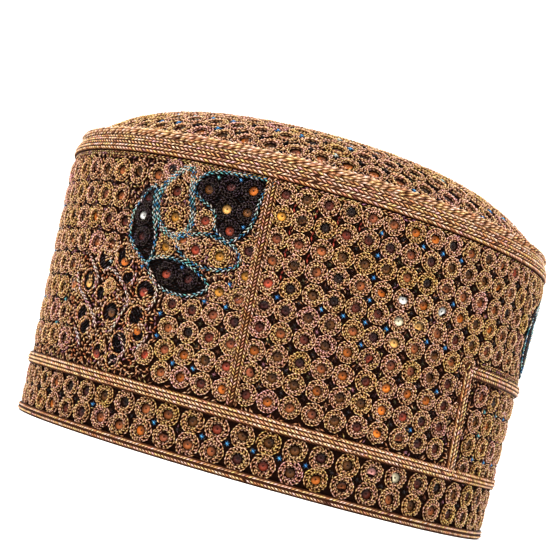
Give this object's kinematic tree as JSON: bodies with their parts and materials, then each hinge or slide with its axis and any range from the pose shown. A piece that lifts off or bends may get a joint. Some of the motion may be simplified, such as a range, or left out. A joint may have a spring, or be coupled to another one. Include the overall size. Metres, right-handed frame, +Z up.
{
  "type": "embroidered cap",
  "caption": "Tall oval cap with a flat-sided padded wall, low domed crown, corded seam, stepped plaited band and bound hem.",
  "frame": {"origin": "middle of the footprint, on the surface that the hem rests on", "axes": "+Z up towards the crown; +X along the cap's long way, -Y the side seen in the picture"},
  "size_m": [0.2048, 0.1876, 0.1367],
  "materials": {
    "ground_cloth": "dark brown cloth under dense embroidery",
    "crown_cloth": "dark brown cloth under dense embroidery",
    "tan_thread": "plaited lustrous tan thread"
  },
  "bodies": {
    "root": {"side_wall": "ground_cloth", "crown": "crown_cloth", "crown_cord": "tan_thread", "crown_braid": "tan_thread", "band_braid": "tan_thread", "hem_braid": "tan_thread", "panel_braid_side": "tan_thread", "panel_braid_brow": "tan_thread", "panel_braid_back": "tan_thread"}
  },
  "joints": []
}
